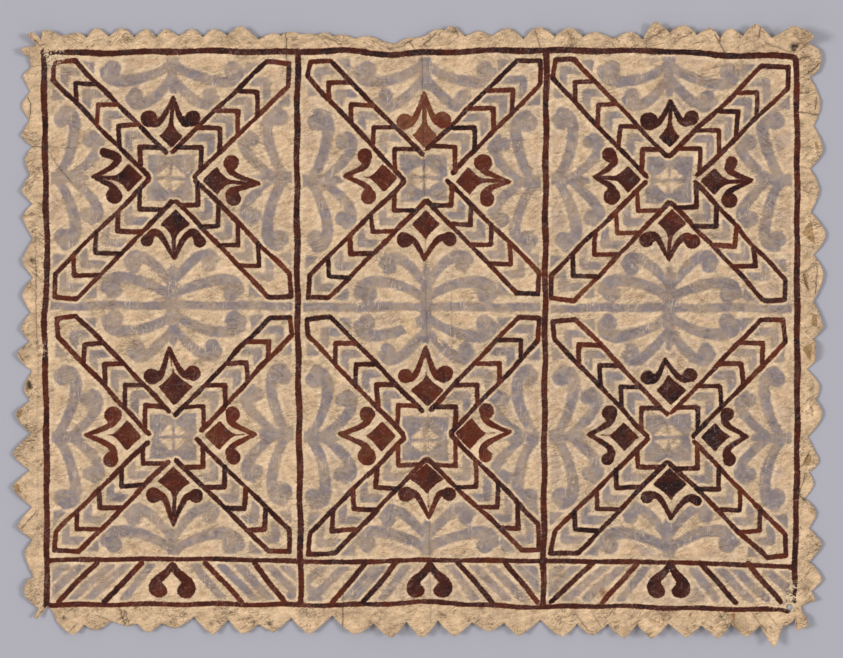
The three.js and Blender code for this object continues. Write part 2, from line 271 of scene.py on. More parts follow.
def outlineRing(xs, ys):
    # The whole edge, clockwise from the top left, a column of cells for each place on the lying part's
    # border and a fan of them at each corner. Corner rows are joined by straight legs.
    places = {
        "top": (xs, lambda along, out: (along, out)),
        "right": (ys[::-1], lambda along, out: (out, along)),
        "bottom": (xs[::-1], lambda along, out: (along, -out)),
        "left": (ys, lambda along, out: (-out, along)),
    }
    ring = {name: [] for name in ("x", "y", "curl", "known", "ordinal")}
    ordinal = 0
    for side, (alongGrid, place) in places.items():
        along, out, curl, inside = sideSamples(side, alongGrid)
        x, y = place(along, out)
        rows = (x, y, np.where(inside, curl, 0), inside, ordinal + np.arange(len(x)))
        ordinal += len(x) - 1
        for (name, values), row, corner in zip(ring.items(), rows, (0, 0, 0, 0, ordinal)):
            values.append(np.append(row[:-1], np.full(sheet["cornerFan"], corner)))
    ring = {name: np.concatenate(values) for name, values in ring.items()}
    ring["ordinal"] %= ordinal
    ring["lift"] = np.zeros(len(ring["x"]))
    known = ring["known"].astype(bool)
    size = len(known)
    lasts = np.flatnonzero(known & ~np.roll(known, -1))
    for last, rows in zip(lasts, tornCorners.values()):
        gap = int(np.argmax(np.roll(known, -last - 1))) + 1
        first = (last + gap) % size
        turns = np.array([
            (ring["x"][last], ring["y"][last], 0),
            *rows,
            (ring["x"][first], ring["y"][first], 0),
        ])
        legs = np.hypot(np.diff(turns[:, 0]), np.diff(turns[:, 1]))
        key = np.round(np.append(0, np.cumsum(legs)) / legs.sum() * gap)
        inner = np.arange(1, gap)
        target = (last + inner) % size
        for axis, name in enumerate(("x", "y", "lift")):
            ring[name][target] = np.interp(inner, key, turns[:, axis])
    return ring


def marginPlaces(ring, innerX, innerY, share):
    # A share of the way from the lying part to the edge. Past the notches the cloth rolls on an arc through
    # the tooth's curl and then runs straight, and a torn corner rises by its lift times share squared. No
    # crease takes the sheet below the floor.
    outX = ring["x"] - innerX
    outY = ring["y"] - innerY
    full = np.hypot(outX, outY)
    outX = outX / full
    outY = outY / full
    length = full * share
    foldX = pinking["right"]["line"] - sheet["lyingHalfWidth"]
    foldY = pinking["top"]["line"] - sheet["lyingHalfHeight"]
    foldAt = np.where(np.abs(outX) > np.abs(outY), foldX, foldY)
    past = np.where(ring["curl"] > 0, np.maximum(0, length - foldAt), 0)
    curl = np.maximum(ring["curl"], 1e-3)
    radius = sheet["rollLength"] / curl
    turned = np.minimum(past, sheet["rollLength"]) / sheet["rollLength"] * curl
    straight = np.maximum(0, past - sheet["rollLength"])
    across = radius * np.sin(turned) + straight * np.cos(turned)
    up = ring["lift"] * share ** 2 + radius * (1 - np.cos(turned)) + straight * np.sin(turned)
    flatX = innerX + outX * (length - past)
    flatY = innerY + outY * (length - past)
    height = np.maximum(sheetHeight(flatX, flatY) + relief(flatX, flatY), sheet["thickness"] / 2) + up
    paintX = innerX + outX * length
    paintY = innerY + outY * length
    return np.stack([flatX + outX * across, flatY + outY * across, height, paintX, paintY], axis=1)


def normalsOf(points, triangles):
    # Each point's normal is the sum of the cross products of the triangles round it.
    a, b, c = (points[triangles[:, i]] for i in range(3))
    cross = np.cross(b - a, c - a)
    total = np.zeros_like(points)
    for i in range(3):
        np.add.at(total, triangles[:, i], cross)
    return total / np.maximum(np.linalg.norm(total, axis=1, keepdims=True), 1e-12)


def bandTriangles(inner, outer):
    # Two triangles a cell between two closed rings, without those that a repeated point leaves flat.
    nextInner = np.roll(inner, -1)
    nextOuter = np.roll(outer, -1)
    pairs = np.concatenate([
        np.stack([inner, nextOuter, outer], axis=1),
        np.stack([inner, nextInner, nextOuter], axis=1),
    ])
    return pairs[(pairs[:, 0] != pairs[:, 1]) & (pairs[:, 1] != pairs[:, 2])]


def leansBack(x, y):
    # Whether the arm painted over each place runs up to the left, so that the cells' diagonals run along it.
    middles = np.array(list(squares.values()), float)
    nearest = np.argmin(np.hypot(x[:, None] - middles[:, 0], y[:, None] - middles[:, 1]), axis=1)
    return (x - middles[nearest, 0]) * (y - middles[nearest, 1]) < 0


def middleSurface():
    # A grid for the lying part and a band of rings for the margin: the places, the triangles, the points on
    # the lying part's border, and the outline's rows.
    xs = np.linspace(-sheet["lyingHalfWidth"], sheet["lyingHalfWidth"], sheet["columns"] + 1)
    ys = np.linspace(-sheet["lyingHalfHeight"], sheet["lyingHalfHeight"], sheet["rows"] + 1)
    gridX, gridY = np.meshgrid(xs, ys)
    index = np.arange(gridX.size).reshape(gridX.shape)
    flatX, flatY = gridX.ravel(), gridY.ravel()
    gridHeight = sheetHeight(flatX, flatY) + relief(flatX, flatY)
    gridPlaces = np.stack([flatX, flatY, gridHeight, flatX, flatY], axis=1)
    cells = np.stack([index[:-1, :-1], index[:-1, 1:], index[1:, 1:], index[1:, :-1]], axis=-1).reshape(-1, 4)
    leaning = leansBack(flatX[cells].mean(axis=1), flatY[cells].mean(axis=1))
    cells[leaning] = np.roll(cells[leaning], -1, axis=1)
    triangles = [cells[:, [0, 1, 2]], cells[:, [0, 2, 3]]]
    border = np.concatenate([index[-1, :-1], index[::-1, -1][:-1], index[0, ::-1][:-1], index[:-1, 0]])
    ring = outlineRing(xs, ys)
    inner = border[ring["ordinal"]]
    places = [gridPlaces]
    current = np.arange(gridX.size, gridX.size + len(inner))
    previous = inner
    for share in sheet["bandSteps"]:
        places.append(marginPlaces(ring, flatX[inner], flatY[inner], share))
        triangles.append(bandTriangles(previous, current))
        previous = current
        current = current + len(inner)
    return np.concatenate(places), np.concatenate(triangles), border, ring["ordinal"]


def sheetShape():
    # The face, and the back of the margin, stand half the thickness off the middle surface along its normals.
    # Under the lying part, rings to the middle close the back.
    middle, faceTriangles, border, ordinal = middleSurface()
    normals = normalsOf(middle[:, :3], faceTriangles)
    half = sheet["thickness"] / 2
    count = len(middle)
    size = len(ordinal)
    gridSize = count - size * len(sheet["bandSteps"])
    kept = np.concatenate([gridSize + (step - 1) * size + np.arange(size) for step in sheet["backSteps"]])
    bandStart = count + len(border)

    def underside(share):
        x, y = middle[border, :2].T * share
        return np.stack([x, y, sheetHeight(x, y) - half], axis=1)

    parts = [middle[:, :3] + normals * half, underside(1), middle[kept, :3] - normals[kept] * half]
    backTriangles = []
    previous = count + ordinal
    for step in range(len(sheet["backSteps"])):
        current = bandStart + step * size + np.arange(size)
        backTriangles.append(bandTriangles(previous, current)[:, ::-1])
        previous = current
    rim = bandTriangles(count - size + np.arange(size), previous)
    outerRing = count + np.arange(len(border))
    for step, share in enumerate(sheet["undersideRings"]):
        parts.append(underside(share))
        current = bandStart + len(kept) + step * len(border) + np.arange(len(border))
        backTriangles.append(bandTriangles(current, outerRing)[:, ::-1])
        outerRing = current
    parts.append(underside(0)[:1])
    last = np.full(len(border), outerRing[-1] + 1)
    backTriangles.append(np.stack([last, np.roll(outerRing, -1), outerRing], axis=1))
    points = np.concatenate(parts)
    everyTriangle = np.concatenate([faceTriangles, *backTriangles, rim])
    isFace = np.arange(len(everyTriangle)) < len(faceTriangles)
    flatPlaces = points[:, :2].copy()
    flatPlaces[:count] = middle[:, 3:]
    flatPlaces[bandStart:bandStart + len(kept)] = middle[kept, 3:]
    rimmed = np.zeros(len(points))
    rimmed[count - size:count] = 1
    return points, everyTriangle, isFace, flatPlaces, rimmed


shapePoints, shapeTriangles, shapeIsFace, flatPlaces, outermost = sheetShape()
paintX, paintY = flatPlaces.T
shapeLow, shapeHigh = shapePoints.min(axis=0), shapePoints.max(axis=0)
solidLow, solidHigh = (np.array(corner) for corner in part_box("bark_cloth"))
placeShift = (solidLow + solidHigh) / 2 / mm - (shapeLow + shapeHigh) / 2
placeShift[2] = solidLow[2] / mm - shapeLow[2]
print("sheet worked out:", len(shapeTriangles), "triangles, shift", placeShift.round(2).tolist())


# The painting. Each layer keeps, for every point of the sheet, the distance in millimetres to the edge of the
# nearest painted shape (below 0 inside it), and that shape's tone.
painting = {
    "lineHalf": 2.6,
    "frameHalf": 3.2,
    "greyHalf": 4.2,
    "spread": 0.5,  # how far a filled shape runs past its outline
    "stopShort": 1.6,  # how far before the crossing the arms' long lines stop
    "armBow": 0.7,
    "armUnevenness": 0.14,  # shares of a stroke's width
    "angleUnevenness": 0.08,
    "frameUnevenness": 0.1,
    "angles": 4,
    "greyInset": 6.5,
    "greyCorner": (6, 20, 13),  # in an arm's end: from and to along its edge, and how deep
    "middleHalf": 23,
    "petal": [(1.4, 2.2), (14, 2.6), (2.6, 12.4)],
    "greyBands": [(-370, -130, 23), (-118, 118, 21.5), (129, 368, 20.5)],  # from, to and y
    "greyBandHalf": 4.4,
    "washReach": 100,
    "farthest": 9.0,
    "handWave": 0.7,  # how far the hand strays
    "seed": 7,
}
hand = np.random.default_rng(painting["seed"])
# The hand strays by crossed sines of the place.
warpX = paintX + painting["handWave"] * np.sin(paintY / 9 + 2 * np.sin(paintX / 31)) * np.sin(paintX / 23)
warpY = paintY + painting["handWave"] * np.sin(paintX / 11 + 2 * np.sin(paintY / 27)) * np.sin(paintY / 19)


def newLayer():
    return {
        "distance": np.full(len(paintX), painting["farthest"]),
        "tone": np.full(len(paintX), 0.5),
    }


def layOn(layer, near, distance, tone):
    # Keeps the shorter distance and its tone.
    closer = distance < layer["distance"][near]
    layer["distance"][near] = np.where(closer, distance, layer["distance"][near])
    layer["tone"][near] = np.where(closer, tone, layer["tone"][near])


def nearBox(points, reach):
    # The sheet's points within reach of a shape's box.
    low = points.min(axis=0) - reach
    high = points.max(axis=0) + reach
    return np.flatnonzero((warpX > low[0]) & (warpX < high[0]) & (warpY > low[1]) & (warpY < high[1]))


def stroke(layer, points, half, tone=0.5, toneEnd=None):
    # A brush stroke along a path: the distance to each leg less the half width, which changes evenly from
    # one point of the path to the next, as the tone does from the start to the end.
    points = np.asarray(points, float)
    half = np.broadcast_to(half, len(points)).astype(float)
    toneEnd = tone if toneEnd is None else toneEnd
    near = nearBox(points, painting["farthest"] + half.max())
    if not len(near):
        return
    x, y = warpX[near], warpY[near]
    best = np.full(len(near), 99.0)
    bestTone = np.full(len(near), float(tone))
    travelled = np.append(0, np.cumsum(np.hypot(*np.diff(points, axis=0).T)))
    for i in range(len(points) - 1):
        distance, along = fromLeg(x, y, points[i], points[i + 1])
        distance -= half[i] + (half[i + 1] - half[i]) * along
        closer = distance < best
        share = (travelled[i] + along * (travelled[i + 1] - travelled[i])) / max(travelled[-1], 1e-9)
        best = np.where(closer, distance, best)
        bestTone = np.where(closer, tone + (toneEnd - tone) * share, bestTone)
    layOn(layer, near, best, bestTone)


def filled(layer, points, tone=0.5):
    # A filled outline: the distance to its nearest side, taken below 0 where the sides wind round the point.
    points = np.asarray(points, float)
    near = nearBox(points, painting["farthest"])
    if not len(near):
        return
    x, y = warpX[near], warpY[near]
    best = np.full(len(near), 99.0)
    inside = np.zeros(len(near), bool)
    for (ax, ay), (bx, by) in zip(points, np.roll(points, -1, axis=0)):
        best = np.minimum(best, fromLeg(x, y, (ax, ay), (bx, by))[0])
        rise = by - ay if abs(by - ay) > 1e-9 else 1e-9
        inside ^= ((ay > y) != (by > y)) & (x < ax + (bx - ax) * (y - ay) / rise)
    layOn(layer, near, np.where(inside, -best, best) - painting["spread"], tone)


def smoothPath(points, steps=6):
    # A rounded path through a few points: on each leg a cubic whose slopes join the points either side.
    points = np.asarray(points, float)
    ends = np.concatenate([[2 * points[0] - points[1]], points, [2 * points[-1] - points[-2]]])
    t = np.linspace(0, 1, steps, endpoint=False)[:, None]
    legs = []
    for i in range(1, len(ends) - 2):
        before, start, end, after = ends[i - 1:i + 3]
        square = 2 * before - 5 * start + 4 * end - after
        cube = 3 * start - 3 * end + after - before
        legs.append(0.5 * (2 * start + (end - before) * t + square * t ** 2 + cube * t ** 3))
    return np.concatenate([*legs, points[-1:]])


def smoothStroke(layer, rows, tone=0.5, toneEnd=None, steps=6):
    # Rows of x, y and half width, rounded into one stroke.
    path = smoothPath(rows, steps)
    stroke(layer, path[:, :2], path[:, 2], tone, toneEnd)


# Each kind of stroke has a layer of its own, so that the bare gaps between them stay clean.
kinds = ("frame", "arm", "angle", "leaf", "scroll")
layers = {kind: newLayer() for kind in kinds}
grey = newLayer()
bare = newLayer()  # places where the grey is left out

# Frame lines: rows of x and y, across or down the sheet.
frameLines = {
    "top": [(-376, 276), (-367, 276), (-322, 276), (-292, 276.5), (-222, 278), (-136, 277), (-82, 278.5),
            (-52, 276), (-27, 274.5), (-2, 276), (28, 277), (78, 278.5), (148, 278.5), (198, 278),
            (238, 278), (278, 275.5), (298, 274), (328, 273), (368, 273), (374, 270)],
    "left": [(-378, 278), (-377, 230), (-375.5, 129), (-374, 67), (-376, 29), (-377, -1), (-375, -101),
             (-374.5, -276)],
    "right": [(374.5, 271), (375.5, 180), (375.5, 29), (375.5, -121), (372.5, -273)],
    "bottom": [(-371, -276), (-221, -275), (-78, -276), (8, -273), (58, -276), (118, -278), (178, -277),
               (258, -279), (358, -281), (366, -282)],
    "firstDivider": [(-123.5, 274), (-124.5, 179), (-124, 29), (-122, -121), (-120.5, -274)],
    "secondDivider": [(125, 278), (124, 129), (123.5, 0), (122.5, -171), (121.5, -276)],
    "stripLine": [(-374, -231), (-221, -230), (-78, -233), (-2, -231), (118, -232), (228, -233), (301, -235),
                  (373, -238)],
}


def paintFrame():
    for name, path in frameLines.items():
        rows = smoothPath(path, 8)
        slim = painting["lineHalf"] if name in ("stripLine", "bottom") else painting["frameHalf"]
        half = slim * (1 + painting["frameUnevenness"] * uneven(np.arange(len(rows)) * 1.7 + len(name)))
        stroke(layers["frame"], rows, half, 0.35 + 0.4 * hand.random(), 0.35 + 0.4 * hand.random())


turnSigns = {"upLeft": (-1, 1), "upRight": (1, 1), "downLeft": (-1, -1), "downRight": (1, -1)}

# The crossed arms, one row for each of those directions and in it from the square's middle: the end's corner
# (out, up), the flat side and how much it rises, the drop side and how much it leans out, where the first
# long line ends near the middle, and the second, then the outermost angle stroke's place, skew and step.
armColumns = ("out", "up", "flat", "rise", "drop", "lean", "firstOut", "firstUp",
              "otherOut", "otherUp", "place", "skew", "step")
arms = {
    "topLeft": [
        (117, 115, 21, 2, 17.5, 1, 4.5, 24.7, 21, 0, 95, 0, 21.3),
        (118, 114, 22.5, 2, 22.5, -1, -0.3, 24.7, 22.1, 0, 86, 0, 18.5),
        (116.5, 119, 22.5, 1.5, 23, -1, -1.4, 22.6, 21, 1, 97.3, 0, 22),
        (120, 118, 22.5, 1, 22.5, -1, 4.7, 22.6, 23.7, 2, 88, 0, 20.3),
    ],
    "topMiddle": [
        (114, 117, 20, 0, 14.5, 3.3, 0, 22.1, 19.3, -2.8, 95, 0, 21.9),
        (116.5, 117, 23, 1, 24, -1, 2.4, 28.6, 28, 4.5, 88.2, 0, 19),
        (116.5, 120, 21, 0, 22.5, -2.5, -2.4, 22.7, 19.3, 2.8, 97, 3, 22),
        (113.5, 116, 20, 0, 21, 2.5, 2.4, 22.1, 21.7, 1.2, 86.5, 0, 19.7),
    ],
    "topRight": [
        (113.5, 119.5, 18.5, 1.5, 17.5, 3.5, 1.6, 22.5, 21.5, 2.6, 96, 4, 22.5),
        (119.5, 113.5, 26.5, 0, 22.5, -1, -0.8, 22.5, 27.4, 3.5, 87.5, 0, 18.8),
        (118.5, 117, 24, 4, 21.5, -1, -1, 21.4, 22.4, 1.5, 96, 0, 21.7),
        (115.5, 120, 20.5, 0, 20, 1, 1, 21.4, 25.7, 1.5, 86, 0, 19.6),
    ],
    "lowLeft": [
        (116, 118, 18.5, 3.5, 17.5, -1, 2.3, 25.4, 23, 2.2, 90.5, 4, 20.3),
        (117, 120, 20, -1, 17.5, 2.5, 1.8, 21.2, 27.5, 5.5, 95.7, 0, 21.8),
        (118.5, 113, 24, 2, 19, -1.5, 3.1, 23.5, 24.7, 4.5, 94.2, -3, 21.9),
        (117, 115, 21.5, -1, 21.5, -1, 2.7, 21.9, 22.6, 1.2, 92, 0, 20.6),
    ],
    "lowMiddle": [
        (117.5, 120.5, 23, 2.5, 17, -1, 1.8, 28, 20.6, 4.2, 93.6, 7.5, 20.9),
        (114.5, 121.5, 21.5, 1, 22, -1, 4.8, 29.6, 25.3, 6, 98, 3, 22),
        (116, 114, 26, -1, 21.5, -1, -1.5, 18.7, 19.8, -2.6, 91.9, -2, 21.9),
        (114, 109.5, 18, 0, 26, -1.5, 1.5, 17.9, 25.3, -6, 90.8, -5, 21),
    ],
    "lowRight": [
        (115, 116.5, 21.5, 2.5, 17.5, -1.5, -1, 22.2, 19.7, 0.5, 91.1, 4, 20.9),
        (115, 118.5, 22.5, 0, 22.5, 2.5, 3.7, 24.7, 23.7, 1.3, 95.3, 0, 21.7),
        (117.5, 115.5, 27, 0, 21.5, -4, 0.5, 22.9, 19.7, 0.3, 92, -1, 20.8),
        (118, 117.5, 19, 2.5, 21, -1, -0.5, 22.9, 24.5, 2, 92.6, 1, 20.7),
    ],
}

# The leaf-and-scroll shapes, one row each for the top, right, bottom and left of a square. Across is to the
# right on the top and bottom ones and down on the side ones, out is away from the square's middle. Tip and
# apex are the outer point, near the diamond's inner point, low and high its side corners, waist how far out
# they are, stem where its point ends. Then for each scroll: its end across and out, its size, and how far
# out its arm is where it turns. Tone runs from red-brown at 0 to near black at 1.
leafColumns = ("tip", "apex", "near", "low", "high", "waist", "stem",
               "firstAcross", "firstOut", "firstSize", "firstTurn",
               "otherAcross", "otherOut", "otherSize", "otherTurn", "tone")
leaves = {
    "topLeft": [
        (1.4, 81, 30, -11, 12, 42, 78, -22, 58.7, 8, 54, 21.3, 59.5, 7.5, 55, 0.6),
        (5.2, 88.4, 31.5, -11, 17, 46, 84, -15.5, 60.2, 7, 59, 20, 62, 7.3, 58, 0.5),
        (3, 80.6, 31.6, -11, 19, 46.6, 78, -23.5, 62.4, 6, 54.5, 29, 63, 5.5, 54.5, 0.6),
        (-1.5, 78.2, 28.6, -14, 14, 42.6, 74, -25.5, 67, 4, 53.5, 17.6, 56.7, 7.5, 55, 0.55),
    ],
    "topMiddle": [
        (0.3, 84.8, 30.2, -11.5, 12.5, 42.2, 82, -19.6, 56, 7.5, 54, 18.5, 58.3, 8, 56, -0.35),
        (3.6, 86, 31.5, -10.7, 16.3, 45, 83, -15, 59.4, 8.3, 58, 21.3, 63, 6.7, 60, 0.35),
        (0.5, 82.3, 32.2, -12, 16, 46.2, 66, -20, 61.4, 7.2, 60, 25, 61.4, 6.5, 60, 0.25),
        (-1.2, 79.6, 27, -14.4, 13.6, 41, 61, -22, 58.7, 7, 57, 18.8, 55.5, 7, 55, 0.3),
    ],
    "topRight": [
        (0.9, 79.7, 32.8, -9.6, 11.4, 43.3, 77, -20, 59, 8.5, 56, 22.4, 61.5, 7, 57, 0.6),
        (0.7, 83.8, 31.6, -12.5, 15.5, 45.6, 80, -17.5, 62, 5.5, 59, 19.8, 60.6, 7.5, 59, 0.7),
        (0, 79.5, 29.3, -12, 17, 43.8, 76, -22.4, 60.4, 7, 56, 24, 61.2, 7, 56, 0.45),
        (-3.5, 74.6, 27.9, -13.5, 13.5, 41.4, 70, -25, 59.7, 7, 55, 16.4, 56.7, 7.7, 56, 0.65),
    ],
    "lowLeft": [
        (-3.1, 89.2, 32, -15, 19, 50.3, 80, -21.4, 61, 7.5, 59, 20, 63.5, 7, 61, 0.4),
        (-2.2, 82.3, 31.6, -17, 13, 46.6, 71.5, -23.7, 60, 7, 57, 20.2, 61, 6.5, 57, 0.15),
        (1, 87.4, 29, -15, 17, 45, 80, -19.7, 58.4, 7, 58, 22.6, 58.4, 6.8, 58, 0.45),
        (-2.2, 87.7, 31.3, -16.3, 13.7, 46.3, 66, -22, 59.5, 8, 58, 22, 61.7, 7, 59, 0.25),
    ],
    "lowMiddle": [
        (0.4, 93.6, 33.5, -14, 19, 50, 69, -19.8, 64, 6.6, 62, 19.5, 65.7, 8, 63, 0.2),
        (-8.3, 85, 30.5, -21.5, 9.5, 46, 70, -29, 61.3, 7, 59, 16.3, 60.5, 6, 58, 0.15),
        (3.6, 77.8, 24, -15.5, 18.5, 39.2, 68, -19, 54, 7, 53, 24.5, 54, 6.5, 53, 0.35),
        (-6, 85.4, 28.6, -18.4, 11.6, 43.6, 60, -26.3, 58, 7, 57, 16.3, 58.3, 8.5, 57, 0.2),
    ],
    "lowRight": [
        (-2.2, 78.2, 33, -12, 18, 48, 67.3, -20.6, 60.6, 6.5, 58, 22, 63.2, 6.5, 59, 0.75),
        (-1.3, 78.5, 32.5, -15.8, 13.2, 47, 64, -24, 59.6, 6.5, 57, 21.2, 61.3, 6, 58, 0.8),
        (2.8, 80.5, 29.3, -15, 19, 46.3, 64.7, -21.4, 59.7, 5.5, 57, 29, 63, 3, 60, 0.75),
        (-3, 80, 29.5, -15.8, 13.2, 44, 68, -24.7, 58.2, 7, 56, 21.2, 60.7, 5.5, 57, 0.6),
    ],
}
leafShape = {
    "joinedWithin": 8,  # of the apex: a stem that reaches so far out joins it and is drawn wide
    "flankReach": 15,  # how far out of the waist the hollow flanks run
    "slim": {True: 1.8, False: 0.4},  # the stem's half width, for a joined one and for a pointed one
    "hollow": {True: 1.8, False: 1.4},  # the power of the flank's curve
    "scrollHalves": (2, 2.8, 3.4, 4.3, 5),
    "knobExtra": 0.8,
}
leafAxes = {  # the directions of across and out
    "top": ((1, 0), (0, 1)),
    "right": ((0, -1), (1, 0)),
    "bottom": ((1, 0), (0, -1)),
    "left": ((0, -1), (-1, 0)),
}


def placed(middle, side, rows):
    # Turns rows of across and out, and any further columns, into places on the sheet.
    across, out = np.array(leafAxes[side], float)
    rows = np.asarray(rows, float)
    spots = np.array(middle) + rows[:, :1] * across + rows[:, 1:2] * out
    return np.concatenate([spots, rows[:, 2:]], axis=1)


def paintArm(square, signs, row):
    arm = dict(zip(armColumns, row))
    middle = np.array(squares[square])

    def spot(out, up):
        return middle + np.array(signs) * np.array([out, up])

    corner = spot(arm["out"], arm["up"])
    flatEnd = (arm["out"] - arm["flat"], arm["up"] + arm["rise"])
    dropEnd = (arm["out"] + arm["lean"], arm["up"] - arm["drop"])
    firstEnd = (arm["firstOut"], arm["firstUp"])
    otherEnd = (arm["otherOut"], arm["otherUp"])
    half = painting["lineHalf"]
    for start, end in ((flatEnd, firstEnd), (dropEnd, otherEnd)):
        start, end = spot(*start), spot(*end)
        run = end - start
        end = end - run / np.hypot(*run) * painting["stopShort"]
        across = np.array([-run[1], run[0]]) / np.hypot(*run)
        bow = across * hand.uniform(-painting["armBow"], painting["armBow"])
        path = smoothPath([start, start + run * 0.35 + bow, start + run * 0.7 - bow * 0.5, end], 5)
        widths = half * (1 + painting["armUnevenness"] * uneven(np.arange(len(path)) + arm["out"]))
        stroke(layers["arm"], path, widths, hand.random(), 0.3 + 0.6 * hand.random())
    stroke(layers["arm"], [spot(*flatEnd), corner], half + 0.1, hand.random(), hand.random())
    stroke(layers["arm"], [corner, spot(*dropEnd)], half, hand.random(), hand.random())
    paintAngles(arm, spot, flatEnd, dropEnd, firstEnd, otherEnd)
    strength = greyStrengths[square]
    near, far, deep = painting["greyCorner"]
    for end, edge, turned in ((flatEnd[0], arm["up"] + 1, 1), (dropEnd[1], arm["out"] + 1, -1)):
        points = [(end - near, edge), (end - far, edge), (end - far + 1, edge - deep)]
        filled(grey, [spot(*point[::turned]) for point in points], strength)


def paintAngles(arm, spot, flatEnd, dropEnd, firstEnd, otherEnd):
    # Four brown angle strokes whose legs end on the arm's two long lines, and grey ones between them.
    def reachFirst(up):
        share = (up - firstEnd[1]) / (flatEnd[1] - firstEnd[1])
        return firstEnd[0] + (flatEnd[0] - firstEnd[0]) * share

    def reachOther(out):
        share = (out - otherEnd[0]) / (dropEnd[0] - otherEnd[0])
        return otherEnd[1] + (dropEnd[1] - otherEnd[1]) * share

    skew = np.array([-arm["skew"], arm["skew"]]) / 2
    for i in range(painting["angles"]):
        out, up = arm["place"] - i * arm["step"] + skew
        bend = hand.uniform(-1.2, 1.2, 2)
        legEnds = (spot(reachFirst(up) + 0.5, up + bend[0]), spot(out + bend[1], reachOther(out) + 0.5))
        half = painting["lineHalf"] * (1 + painting["angleUnevenness"] * hand.uniform(-1, 1))
        stroke(layers["angle"], [legEnds[0], spot(out, up), legEnds[1]], half, hand.random(), hand.random())
    inset = painting["greyInset"]
    for i in range(-1, painting["angles"] - 1):
        out, up = arm["place"] - (i + 0.5) * arm["step"] + 0.5 + skew
        points = [spot(reachFirst(up) + inset, up), spot(out, up), spot(out, reachOther(out) + inset)]
        stroke(grey, points, painting["greyHalf"], 0.45 + 0.4 * hand.random())


def paintLeaf(square, side, row):
    leaf = dict(zip(leafColumns, row))
    middle = squares[square]
    tone = leaf["tone"]
    axis = (leaf["low"] + leaf["high"]) / 2
    point = axis + (leaf["tip"] - axis) * (leaf["stem"] - leaf["waist"]) / (leaf["apex"] - leaf["waist"])
    rise = np.linspace(0, 1, 6)[1:]
    joined = leaf["stem"] > leaf["apex"] - leafShape["joinedWithin"]
    reach = min(leafShape["flankReach"], leaf["stem"] - leaf["waist"])
    slim = leafShape["slim"][joined]
    curve = (1 - rise) ** leafShape["hollow"][joined]
    lean = axis + (point - axis) * reach / (leaf["stem"] - leaf["waist"])

    def flank(corner, edge):
        rows = [lean + edge + (corner - lean - edge) * curve, leaf["waist"] + reach * rise]
        return list(zip(*rows))

    highSide = flank(leaf["high"], slim)
    lowSide = flank(leaf["low"], -slim)
    outline = [(axis, leaf["near"]), (leaf["high"], leaf["waist"]), *highSide,
               (point + slim, leaf["stem"]), (point - slim, leaf["stem"]), *lowSide[::-1],
               (leaf["low"], leaf["waist"])]
    filled(layers["leaf"], placed(middle, side, outline), tone)
    for name in ("first", "other"):
        across, out, size, turn = (leaf[name + part] for part in ("Across", "Out", "Size", "Turn"))
        run = across - leaf["tip"]
        fall = turn - leaf["apex"]
        path = [
            (leaf["tip"], leaf["apex"]),
            (leaf["tip"] + run * 0.26, leaf["apex"] + fall * 0.52),
            (leaf["tip"] + run * 0.52, turn - fall * 0.1),
            (leaf["tip"] + run * 0.78, turn),
            (across, out),
        ]
        rows = np.column_stack([path, leafShape["scrollHalves"]])
        armTone = tone + hand.uniform(-0.2, 0.2)
        smoothStroke(layers["scroll"], placed(middle, side, rows), armTone, armTone + hand.uniform(-0.2, 0.3))
        spot = placed(middle, side, [(across, out), (across + 0.1, out)])
        stroke(layers["scroll"], spot, size + leafShape["knobExtra"], armTone + hand.uniform(-0.2, 0.2))


# The rubbed grey fronds at the middle of each side of a square: across and in from that side, half width.
fronds = {
    "outer": [(2, 5, 3), (10, 13, 4.6), (20, 17.8, 5), (30, 21.3, 5.3), (41, 23.8, 5.6), (53, 24.5, 6.2),
              (63, 21, 6.4), (67, 14, 5.6)],
    "outerKnob": (59, 12, 8.8),
    "inner": [(1, 18, 2.6), (10, 31.5, 4.6), (20, 41.7, 5.2), (30, 48, 5.5), (39, 49, 5.2), (44, 43.5, 4.6)],
    "innerKnob": (38, 39, 7.4),
    "stem": [(0, 0, 6.2), (0, 10, 5.6), (0, 28, 4.6), (0, 38, 2.6)],
}
sideMiddles = {  # how far the origin lies from the square's middle, on each side
    "topLeft": {"top": (2, 121), "right": (0, 121), "bottom": (1, 126), "left": (0, 121)},
    "topMiddle": {"top": (1, 121), "right": (4, 117), "bottom": (2, 127), "left": (2, 121)},
    "topRight": {"top": (0, 122), "right": (0, 120), "bottom": (1, 126), "left": (0, 119)},
    "lowLeft": {"top": (0, 129), "right": (-3, 122), "bottom": (0, 120), "left": (0, 123)},
    "lowMiddle": {"top": (1, 130), "right": (-2, 117), "bottom": (2, 117), "left": (-3, 122)},
    "lowRight": {"top": (1, 128), "right": (0, 121), "bottom": (0, 118), "left": (-2, 119)},
}
greyStrengths = {
    "topLeft": 0.6, "topMiddle": 0.65, "topRight": 0.8,
    "lowLeft": 0.65, "lowMiddle": 0.75, "lowRight": 0.8,
}
washStrengths = {  # how far the grey has also clouded the ground of each square
    "topLeft": 0.48, "topMiddle": 0.6, "topRight": 0.95,
    "lowLeft": 0.4, "lowMiddle": 0.95, "lowRight": 0.9,
}


